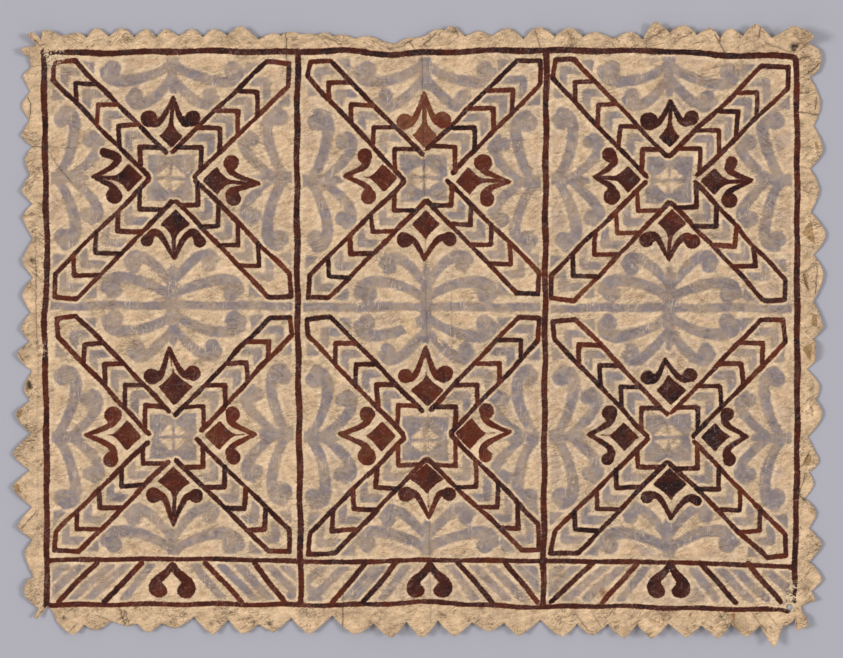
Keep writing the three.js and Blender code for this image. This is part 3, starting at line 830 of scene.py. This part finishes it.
def paintFronds(square, side):
    middle = squares[square]
    originAcross, originOut = sideMiddles[square][side]
    strength = greyStrengths[square]

    def lay(rows):
        return placed(middle, side, [(originAcross + a, originOut - b, h) for a, b, h in rows])

    smoothStroke(grey, lay(fronds["stem"]), strength)
    for mirror in (-1, 1):
        for name in ("outer", "inner"):
            shift = hand.uniform(-1.5, 1.5, 2)
            rows = [(mirror * a + shift[0] * b / 40, b + shift[1] * a / 40, h) for a, b, h in fronds[name]]
            smoothStroke(grey, lay(rows), strength + hand.uniform(-0.15, 0.15))
            a, b, size = fronds[name + "Knob"]
            a, b = mirror * a + shift[0], b + shift[1]
            knob = lay([(a, b, size), (a + 0.1, b, size)])
            stroke(grey, knob[:, :2], size, strength + hand.uniform(-0.2, 0.2))


def paintMiddle(square):
    # A grey square with four bare petals on its diagonals.
    x, y = squares[square]
    strength = greyStrengths[square] + 0.1
    half = painting["middleHalf"]
    corners = ((-half, -half), (half, -half), (half, half), (-half, half))
    filled(grey, [(x + across, y + up) for across, up in corners], strength)
    for across, up in turnSigns.values():
        filled(bare, [(x + a * across, y + b * up) for a, b in painting["petal"]])


def paintSquares():
    for square in squares:
        for signs, row in zip(turnSigns.values(), arms[square]):
            paintArm(square, signs, row)
        for side, row in zip(leafAxes, leaves[square]):
            paintLeaf(square, side, row)
        for side in leafAxes:
            paintFronds(square, side)
        paintMiddle(square)
    for left, right, y in painting["greyBands"]:
        stroke(grey, [(left, y), ((left + right) / 2, y + 1), (right, y)], painting["greyBandHalf"], 0.7)


# The strip along the bottom. Slanted strokes by where they start under the strip's line and where they end,
# and the pair of drops in the middle of each third.
strip = {
    "top": -234,
    "bottom": -273,
    "slants": [(-325, -363), (-280, -318), (-216, -180), (-167, -137), (-56, -89), (-26, -58), (37, 70),
               (84, 116), (171, 130), (216, 181), (279, 314), (326, 359)],
    "drops": [(-249, -264, -234), (8, -7, 22), (248, 234, 261)],
    # A drop's stroke: 0 for the pair's point or 1 for the drop's middle, how far out of it, y and half width.
    "dropPath": [(0, 1, -235, 2.6), (0, 5, -243, 4), (1, 0.5, -253, 5.6), (1, 0, -260, 8.3),
                 (1, -4, -262, 6.4)],
    "dropClear": (12, 14),  # the bare room beside the drops, at the strip's top and bottom
    "endLean": 36,
    "thirds": [(-373, -122), (-119, 120), (124, 374)],
    "greyHalf": 4.2,
    "wideGap": 24,  # gaps wider than this hold two grey strokes
}


def paintStrip():
    top, bottom = strip["top"], strip["bottom"]
    slants = strip["slants"]
    for start, end in slants:
        tone = hand.random()
        halfway = ((start + end) / 2 + hand.uniform(-1, 1), (top + bottom) / 2)
        half = painting["lineHalf"] + 0.3
        stroke(layers["angle"], [(start, top), halfway, (end, bottom)], half, tone, hand.random())
    for number, (left, right) in enumerate(strip["thirds"]):
        apex, firstDrop, otherDrop = strip["drops"][number]
        for drop, turn in ((firstDrop, -1), (otherDrop, 1)):
            rows = [(apex + (drop - apex) * share + turn * out, y, half)
                    for share, out, y, half in strip["dropPath"]]
            smoothStroke(layers["scroll"], rows, 0.3 + 0.4 * hand.random(), 0.3 + 0.4 * hand.random())
        own = slants[number * 4:number * 4 + 4]
        lean = strip["endLean"]
        clearTop, clearBottom = strip["dropClear"]
        gaps = [
            ((left + 2, left - lean), own[0]), (own[0], own[1]),
            (own[1], (apex - clearTop, firstDrop - clearBottom)),
            ((apex + clearTop, otherDrop + clearBottom), own[2]),
            (own[2], own[3]), (own[3], (right - 2, right + lean)),
        ]
        for (startTop, startBottom), (endTop, endBottom) in gaps:
            shares = (0.32, 0.68) if abs(endTop - startTop) > strip["wideGap"] else (0.5,)
            for share in shares:
                x0 = startTop + (endTop - startTop) * share
                x1 = startBottom + (endBottom - startBottom) * share
                strength = 0.6 + hand.uniform(-0.15, 0.15)
                stroke(grey, [(x0, top - 2), (x1, bottom + 3)], strip["greyHalf"], strength)


paintFrame()
paintSquares()
paintStrip()
grey["distance"] = np.maximum(grey["distance"], -bare["distance"])

# Tips that are folded back over the face and show its underside, painted as darker tan patches: outlines in x
# and y.
foldedTips = [
    [(381, 95), (390, 109), (394, 85)],
    [(392, 188), (395, 189), (397, 180), (394, 178)],
    [(382, 55), (385, 57), (387, 41), (384, 44)],
    [(390, 15), (394, 15), (395, 2), (390, 3)],
    [(381.5, -20), (392, -12.5), (388.5, -33)],
    [(381, -136), (387, -124), (391, -128), (388, -136)],
    [(-408, -163), (-403, -166), (-401, -158), (-404, -151)],
    [(-405, -88), (-401, -92), (-399, -80), (-403, -78)],
    [(-397, -62), (-393, -64), (-391, -54), (-394, -48)],
]
folded = newLayer()
for outline in foldedTips:
    filled(folded, outline)


def creaseLines():
    # The distance across the nearest creased line, below 0 on one side, and how dark the painted shade along
    # the
    # line is there: its own darkness times 1.8 less half the distance, held between 0 and 1.
    across = np.zeros(len(paintX))
    nearest = np.full(len(paintX), 99.0)
    shade = np.zeros(len(paintX))
    for ax, ay, bx, by, height, halfWidth, dark in creases:
        apart = fromLeg(paintX, paintY, (ax, ay), (bx, by))[0]
        closer = (apart < nearest) & (dark > 0)
        nearest = np.where(closer, apart, nearest)
        beside = ((paintX - ax) * (by - ay) - (paintY - ay) * (bx - ax)) / np.hypot(bx - ax, by - ay)
        across = np.where(closer, beside, across)
        shade = np.maximum(shade, dark * np.clip(1.8 - apart / 2, 0, 1))
    return np.clip(across, -6, 6), shade


print("painting worked out")


def outsideFrame():
    # How far a point lies outside the frame lines, in millimetres, below 0 inside them.
    def across(name, at, axis):
        path = np.array(frameLines[name], float)
        order = np.argsort(path[:, axis])
        return np.interp(at, path[order, axis], path[order, 1 - axis])

    return np.max([
        paintY - across("top", paintX, 0),
        across("bottom", paintX, 0) - paintY,
        paintX - across("right", paintY, 1),
        across("left", paintY, 1) - paintX,
    ], axis=0)


def washedGround():
    # Each square's wash, carried smoothly into the next: the mean of them all, each weighted by 1 over 1 plus
    # the sixth power of its middle's distance over the reach.
    middles = np.array([squares[name] for name in washStrengths], float)
    strengths = np.array(list(washStrengths.values()))
    apart = np.hypot(paintX[:, None] - middles[:, 0], paintY[:, None] - middles[:, 1])
    weight = 1 / (1 + (apart / painting["washReach"]) ** 6)
    return (weight * strengths).sum(axis=1) / weight.sum(axis=1)


# Marks of use, and painted shade in small holes and slits: x, y, size and strength.
marks = {
    "stains": [(181.5, -263, 3, 0.8), (311.5, -286, 2, 0.9), (311.5, -289, 1.4, 0.9), (268.5, -285, 1.2, 1.0),
               (241.5, -288, 2, 0.5), (390, -182, 1, 0.8), (238, 246, 6, 0.18), (232, 243, 5, 0.18)],
    "holes": [(367.9, -278, 3.4, 1), (389.2, -78, 1.7, 1), (389.8, -82, 1.8, 1), (390.6, -86.5, 1.5, 1)],
    # Small holes and slits painted dark, as painted shade seen through them.
    "holeShadeSpots": [(-357.5, -289, 1.6, 1), (-209.5, -294, 1.5, 1), (-151.5, -295, 2, 1), (371.5, 283, 3, 1),
               (374.5, 283, 2.6, 1), (372, 279, 2.2, 1), (379, -199, 0.9, 0.8), (392, -214, 0.9, 0.8),
               (-389.3, 68.8, 2.2, 1), (-392, -54, 2.2, 1), (-391.5, -58, 2.4, 1)],
    "worn": [(371, -257, 5, 0.8), (370.5, -266, 6, 1), (369.5, -275, 6, 1), (-374, 275, 5, 1),
             (-368.5, 270, 6, 1), (-362, 275, 6, 0.7), (-378, -23, 4, 0.6), (-378, -18, 4, 0.6)],
}


def markShare(rows):
    # For each mark its strength times 1.6 less the distance over its size, held between 0 and 1, and the
    # strongest of them at each point.
    total = np.zeros(len(paintX))
    for x, y, size, strength in rows:
        apart = np.hypot(paintX - x, paintY - y) / size
        total = np.maximum(total, strength * np.clip(1.6 - apart, 0, 1))
    return total


# Shader helper: a socket that can stand in sums.
class Wire:
    def __init__(self, finish, socket):
        self.finish = finish
        self.socket = socket

    def join(self, operation, first, second):
        return self.finish.add("ShaderNodeMath", {"operation": operation}, {0: first, 1: second}, 0)

    def __add__(self, other):
        return self.join("ADD", self, other)

    __radd__ = __add__

    def __sub__(self, other):
        return self.join("SUBTRACT", self, other)

    def __rsub__(self, other):
        return self.join("SUBTRACT", other, self)

    def __mul__(self, other):
        return self.join("MULTIPLY", self, other)

    __rmul__ = __mul__

    def least(self, other):
        return self.join("MINIMUM", self, other)

    def most(self, other):
        return self.join("MAXIMUM", self, other)

    def size(self):
        return self.join("ABSOLUTE", self, 0.0)


# A material under work: one method adds any node, and the others are short names for the usual ones.
class Finish:
    def __init__(self, name):
        self.material = bpy.data.materials.new(name)
        self.material.use_nodes = True
        self.tree = self.material.node_tree
        self.shader = self.tree.nodes["Principled BSDF"]

    def add(self, kind, settings, values, output):
        node = self.tree.nodes.new(kind)
        for key, value in settings.items():
            setattr(node, key, value)
        for key, value in values.items():
            self.feed(node.inputs[key], value)
        return Wire(self, node.outputs[output])

    def feed(self, socket, value):
        if isinstance(value, Wire):
            self.tree.links.new(value.socket, socket)
        else:
            socket.default_value = value

    def attribute(self, name):
        return self.add("ShaderNodeAttribute", {"attribute_name": name}, {}, "Fac")

    def place(self):
        return self.add("ShaderNodeTexCoord", {}, {}, "Object")

    def drawnOut(self, vector, angle, length, width):
        # Space turned by an angle and measured in lengths one way and widths the other, in metres.
        values = {"Vector": vector, "Rotation": (0, 0, angle), "Scale": (length, width, width)}
        return self.add("ShaderNodeMapping", {"vector_type": "TEXTURE"}, values, 0)

    def noise(self, vector, scale, detail=4.0, roughness=0.55, distortion=0.0):
        values = {"Vector": vector, "Scale": scale, "Detail": detail, "Roughness": roughness}
        values["Distortion"] = distortion
        return self.add("ShaderNodeTexNoise", {}, values, 0)

    def fade(self, value, low, high):
        values = {"Value": value, "From Min": low, "From Max": high, "To Min": 0.0, "To Max": 1.0}
        return self.add("ShaderNodeMapRange", {"interpolation_type": "SMOOTHSTEP"}, values, 0)

    def blend(self, share, first, second, kind="MIX"):
        settings = {"data_type": "RGBA", "blend_type": kind, "clamp_factor": True}
        return self.add("ShaderNodeMix", settings, {0: share, 6: first, 7: second}, 2)

    def cover(self, surface, rows):
        # Lays colours over a surface in turn, each by its share.
        for share, name in rows:
            surface = self.blend(share, surface, bark[name])
        return surface

    def bump(self, height):
        values = {"Height": height, "Strength": bark["bumpStrength"], "Distance": bark["bumpDepth"]}
        return self.add("ShaderNodeBump", {}, values, 0)


bark = {
    "margin": colour(219, 186, 149),
    "ground": colour(223, 187, 150),
    "cream": colour(224, 195, 159),
    "washed": colour(178, 155, 140),
    "deepCream": colour(196, 161, 123),
    # A darker tan, for the folded tips.
    "underside": colour(172, 138, 98),
    # Dark fibres, and painted shade beside the creases.
    "darkFibreAndShade": colour(92, 70, 52),
    "fibreLight": colour(232, 206, 172),
    "grey": colour(156, 142, 136),
    "greyDeep": colour(127, 116, 118),
    "brownPale": colour(124, 72, 46),
    "brownRed": colour(100, 44, 27),
    "brown": colour(70, 32, 24),
    "brownDark": colour(35, 20, 20),
    "brownEdge": colour(150, 78, 46),
    # Pale fibres in the ink, and painted sheen on it.
    "paleFibreAndSheen": colour(150, 122, 112),
    "stain": colour(132, 72, 34),
    # Painted shade for creases and small holes, and the dark crumbs of worn places.
    "shadeAndDarkCrumbs": colour(52, 44, 38),
    "noises": {  # scale, detail and roughness
        "cloud": (14, 4, 0.6),
        "patch": (55, 4, 0.6),
        "mottle": (150, 5, 0.65),
        "fleck": (620, 2, 0.6),
    },
    "grain": (0.3, 0.0085, 0.0038),  # its direction in radians, and its length and width in metres
    # The patches below also lay painted shade of the crumples.
    "unevenness": 1.4,  # of the patches in the bark's tone
    "grainContrast": 1.8,
    "fleckContrast": 0.9,
    "darkest": 0.35,  # the least that the unevenness leaves of a colour
    # How strong the painted shade along the creases is.
    "creaseShadeStrength": 0.8,
    "roughness": 0.92,
    "inkRoughness": 0.72,
    "bumpStrength": 0.7,
    "bumpDepth": 0.001,  # metres
    # Hairs: their direction in radians, and how long and how fine the noise is drawn out, in metres.
    "hairs": [(0.2, 0.017, 0.0032), (0.75, 0.013, 0.0028), (-0.5, 0.015, 0.003), (1.45, 0.02, 0.004)],
}


def barkBase(finish, place):
    # What all faces of the sheet share: clouds, patches, a grain drawn out along the fibres, and fine dark
    # and light hairs, which are the level lines of noise that is drawn out along its own direction.
    base = {name: finish.noise(place, *row) for name, row in bark["noises"].items()}
    base["grain"] = finish.noise(finish.drawnOut(place, *bark["grain"]), 1, 5, 0.72)
    hairs = []
    for angle, long, fine in bark["hairs"]:
        strand = finish.noise(finish.drawnOut(place, angle, long, fine), 1, 2, 0.5, 0.5)
        here = finish.fade(finish.noise(place, 38 + 9 * angle, 2, 0.5), 0.5, 0.62)
        hairs.append((1 - finish.fade((strand - 0.5).size(), 0.0, 0.035)) * here)
    base["hair"] = hairs[0].most(hairs[1]).most(hairs[2])
    base["lightHair"] = hairs[3].most(hairs[1] * 0.6)
    # The creases' painted shade: a dark line along each crease and a fainter painted shade beside it.
    across = (finish.attribute("creaseAcross") + (base["mottle"] - 0.5) * 5).size()
    dark = finish.attribute("creaseShade")
    base["crease"] = (1 - finish.fade(across, 0.15, 0.75)) * dark
    base["beside"] = (1 - finish.fade(across, 0.6, 3.0)) * dark
    swelling = base["grain"] * 1.4 + base["mottle"] * 1.2 + base["patch"] * 1.2
    base["relief"] = swelling - base["hair"] * 0.25 - base["beside"] * 0.4
    return base


def unevenToneAndCrumpleShade(finish, base, surface, strength):
    # The bark's unevenness over a colour, partly its own tone and partly painted shade of its crumples:
    # patches, grain and flecks around 1 multiply it.
    share = (base["patch"] - 0.5) * bark["unevenness"] + (base["grain"] - 0.5) * bark["grainContrast"]
    share = (share + (base["fleck"] - 0.5) * bark["fleckContrast"]) * strength + 1.0
    return finish.blend(1.0, surface, share.most(bark["darkest"]), "MULTIPLY")


def dress(finish, base, surface):
    # The colour, the fine relief and the holes of either side.
    finish.feed(finish.shader.inputs["Base Color"], surface)
    finish.feed(finish.shader.inputs["Normal"], finish.bump(base["relief"]))
    finish.feed(finish.shader.inputs["Alpha"], 1 - finish.fade(finish.attribute("holed"), 0.55, 0.65))


def paintedBark():
    finish = Finish("paintedBark")
    base = barkBase(finish, finish.place())
    names = ("cloud", "patch", "mottle", "grain", "fleck", "hair", "lightHair")
    cloud, patch, mottle, grain, fleck, hair, lightHair = (base[name] for name in names)
    inkFar = finish.attribute("inkFar")
    outside = finish.attribute("outside")
    worn = finish.attribute("worn")
    inside = 1 - finish.fade(outside, 0.0, 3.0)

    # The brush strokes: how far each place is inside them, and their tone.
    ragged = (grain - 0.5) * 1.6 + (fleck - 0.5) * 1.1 + worn * 1.4
    inkShare = 0.0
    tone = 0.5
    edge = 9.0
    for kind in kinds:
        inked = finish.attribute(kind + "Far") + ragged
        share = 1 - finish.fade(inked, -0.45, 0.4)
        tone = (finish.attribute(kind + "Tone") - tone) * share + tone
        inkShare = share.most(inkShare)
        edge = inked.least(edge)

    # The rubbed grey shapes, broken up by the grain, with a bare rim beside the brush strokes.
    rubbed = finish.attribute("greyFar") + (grain - 0.5) * 3.0 + (mottle - 0.5) * 3.5
    greyShare = 1 - finish.fade(rubbed, -1.2, 1.0)
    speckle = finish.fade(grain * 0.6 + fleck * 0.4, 0.36, 0.56)
    greyShare = greyShare * (0.5 + finish.attribute("greyTone") * 0.6) * (0.55 + speckle * 0.5)
    greyShare = greyShare * (0.7 + finish.fade(patch, 0.35, 0.6) * 0.4)
    greyShare = greyShare * finish.fade(inkFar + (grain - 0.5) * 1.6, 1.2, 2.8)
    greyShare = greyShare * (1 - finish.fade(outside, -4.0, -1.5)) * (1 - lightHair * 0.4)

    nearInk = 1 - finish.fade(inkFar + (mottle - 0.5) * 3, 1.8, 4.4)
    nearGrey = finish.fade(rubbed, 0.2, 1.4) * (1 - finish.fade(rubbed, 2.6, 5.0))
    halo = nearInk.most(nearGrey * 0.9)
    ground = finish.blend(halo * inside, bark["ground"], bark["cream"])
    washShare = finish.fade(cloud * 0.6 + patch * 0.4, 0.45, 0.63) * inside * finish.attribute("washed")
    ground = finish.cover(ground, [
        (washShare * (1 - halo * 0.8), "washed"),
        (1 - inside, "margin"),
        (finish.fade(mottle, 0.5, 0.72) * 0.55, "deepCream"),
    ])
    deep = finish.fade(mottle * 0.5 + patch * 0.5, 0.42, 0.6)
    greyPaint = finish.blend(deep, bark["grey"], bark["greyDeep"])
    surface = finish.blend(greyShare.least(1.0), ground, greyPaint)
    surface = finish.cover(surface, [
        # the folded tips, as darker tan patches
        (1 - finish.fade(finish.attribute("foldedFar"), -0.6, 0.2), "underside"),
        (lightHair * 0.35, "fibreLight"),
        (hair * (0.8 - inside * 0.3), "darkFibreAndShade"),
        (finish.attribute("rim") * finish.fade(grain, 0.4, 0.6) * 0.5, "deepCream"),
    ])
    surface = unevenToneAndCrumpleShade(finish, base, surface, 0.85 - inside * 0.08)

    # The brown of the strokes, from red to near black, with orange rims, pale fibres showing through, and
    # painted sheen in pale flecks on the ink.
    depth = tone * 0.7 + (patch - 0.5) * 2.0 + (cloud - 0.5) * 0.6 + (grain - 0.5) * 0.8 + 0.12
    ink = finish.blend(finish.fade(depth, -0.15, 0.1), bark["brownPale"], bark["brownRed"])
    ink = finish.cover(ink, [
        (finish.fade(depth, 0.2, 0.5), "brown"),
        (finish.fade(depth, 0.55, 0.85), "brownDark"),
        (finish.fade(edge, -0.9, 0.0) * 0.6, "brownEdge"),
        # painted sheen: pale flecks standing for the ink's gloss
        (finish.fade(grain * 0.5 + fleck * 0.5, 0.55, 0.68) * 0.35, "paleFibreAndSheen"),
        ((hair * 0.25).most(lightHair * 0.35), "paleFibreAndSheen"),
    ])
    ink = unevenToneAndCrumpleShade(finish, base, ink, 1.1)
    crumbs = fleck * 0.5 + grain * 0.5
    surface = finish.cover(finish.blend(inkShare, surface, ink), [
        # painted shade along the creases
        (base["crease"] * bark["creaseShadeStrength"], "shadeAndDarkCrumbs"),
        # painted shade beside the creases
        (base["beside"] * 0.22, "darkFibreAndShade"),
        (worn * finish.fade(crumbs, 0.5, 0.56), "fibreLight"),
        # the worn places' dark crumbs
        (worn * (1 - finish.fade(crumbs, 0.42, 0.47)), "shadeAndDarkCrumbs"),
        (finish.attribute("stained"), "stain"),
        # painted shade in small holes and slits
        (finish.attribute("holeShaded"), "shadeAndDarkCrumbs"),
    ])
    dress(finish, base, surface)
    smoother = bark["roughness"] - bark["inkRoughness"]
    finish.feed(finish.shader.inputs["Roughness"], bark["roughness"] - inkShare * smoother)
    finish.shader.inputs["Specular IOR Level"].default_value = 0.12
    return finish.material


def plainBark():
    finish = Finish("plainBark")
    base = barkBase(finish, finish.place())
    surface = finish.blend(finish.fade(base["cloud"], 0.35, 0.7), bark["margin"], bark["deepCream"])
    surface = finish.cover(surface, [
        (base["hair"] * 0.5, "darkFibreAndShade"),
        # painted shade along the creases
        (base["crease"] * bark["creaseShadeStrength"], "shadeAndDarkCrumbs"),
    ])
    surface = unevenToneAndCrumpleShade(finish, base, surface, 1.0)
    dress(finish, base, surface)
    finish.shader.inputs["Roughness"].default_value = bark["roughness"]
    finish.shader.inputs["Specular IOR Level"].default_value = 0.2
    return finish.material


def linked(name, data):
    item = bpy.data.objects.new(name, data)
    bpy.context.scene.collection.objects.link(item)
    return item


def barkSheet():
    mesh = bpy.data.meshes.new("barkSheet")
    points = (shapePoints + placeShift) * mm
    mesh.from_pydata(points, [], shapeTriangles)
    mesh.polygons.foreach_set("use_smooth", np.ones(len(shapeTriangles), bool))
    mesh.polygons.foreach_set("material_index", np.where(shapeIsFace, 0, 1))
    creaseAcross, creaseShade = creaseLines()
    readings = {
        "inkFar": np.min([layer["distance"] for layer in layers.values()], axis=0),
        "greyFar": grey["distance"],
        "greyTone": grey["tone"],
        "outside": np.clip(outsideFrame(), -9, 9),
        "stained": markShare(marks["stains"]),
        "holeShaded": markShare(marks["holeShadeSpots"]),
        "worn": markShare(marks["worn"]),
        "holed": markShare(marks["holes"]),
        "foldedFar": folded["distance"],
        "washed": washedGround(),
        "creaseAcross": creaseAcross,
        "creaseShade": creaseShade,
        "rim": outermost,
    }
    for kind in kinds:
        readings[kind + "Far"] = layers[kind]["distance"]
        readings[kind + "Tone"] = layers[kind]["tone"]
    for name, values in readings.items():
        attribute = mesh.attributes.new(name, "FLOAT", "POINT")
        attribute.data.foreach_set("value", values.astype(np.float32))
    mesh.materials.append(paintedBark())
    mesh.materials.append(plainBark())
    mesh.update()
    return linked("barkSheet", mesh)


# The studio: a camera straight above the middle of the painting, a lamp on each side, a pale floor.
studio = {
    "cameraHeight": 4.0,
    "pictureWidth": 0.843,  # metres of the sheet's plane across the picture
    "sensor": 36.0,
    "lampElevation": 47,
    "lampSoftness": 17,
    "leftPower": 1.17,
    "rightPower": 0.93,
    "fill": 0.475,
    "behind": 0.42,
    "floor": colour(181, 180, 189),
    "floorHalf": 6.0,
    "floorLevel": -0.0002,
}


def makeCamera():
    camera = bpy.data.cameras.new("camera")
    camera.type = "PERSP"
    camera.sensor_width = studio["sensor"]
    camera.lens = studio["sensor"] * studio["cameraHeight"] / studio["pictureWidth"]
    camera.clip_start = 0.05
    camera.clip_end = 50
    holder = linked("camera", camera)
    holder.location = (placeShift[0] * mm, placeShift[1] * mm, studio["cameraHeight"])
    bpy.context.scene.camera = holder


def makeLamps():
    for name, turn in (("left", 1), ("right", -1)):
        lamp = bpy.data.lights.new(name + "Lamp", "SUN")
        lamp.energy = studio[name + "Power"]
        lamp.angle = math.radians(studio["lampSoftness"])
        holder = linked(name + "Lamp", lamp)
        holder.rotation_euler = (0, -turn * math.radians(90 - studio["lampElevation"]), 0)


def makeSurroundings():
    world = bpy.data.worlds.new("studioAir")
    world.use_nodes = True
    nodes, links = world.node_tree.nodes, world.node_tree.links
    seen = nodes.new("ShaderNodeLightPath")
    mixer = nodes.new("ShaderNodeMix")
    mixer.data_type = "FLOAT"
    mixer.inputs[2].default_value = studio["fill"]
    mixer.inputs[3].default_value = studio["behind"]
    links.new(seen.outputs["Is Camera Ray"], mixer.inputs[0])
    nodes["Background"].inputs["Color"].default_value = (1, 1, 1, 1)
    links.new(mixer.outputs[0], nodes["Background"].inputs["Strength"])
    bpy.context.scene.world = world
    bpy.context.scene.view_settings.view_transform = "Standard"


def makeFloor():
    half, level = studio["floorHalf"], studio["floorLevel"]
    mesh = bpy.data.meshes.new("floor")
    corners = [(-half, -half, level), (half, -half, level), (half, half, level), (-half, half, level)]
    mesh.from_pydata(corners, [], [(0, 1, 2, 3)])
    finish = Finish("floorPaper")
    finish.shader.inputs["Base Color"].default_value = studio["floor"]
    finish.shader.inputs["Roughness"].default_value = 1.0
    finish.shader.inputs["Specular IOR Level"].default_value = 0.0
    mesh.materials.append(finish.material)
    floor = linked("floor", mesh)


makeCamera()
makeLamps()
makeSurroundings()
makeFloor()
print("studio made")

piece = barkSheet()
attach(piece, "root")
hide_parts("bark_cloth")
print("sheet made")
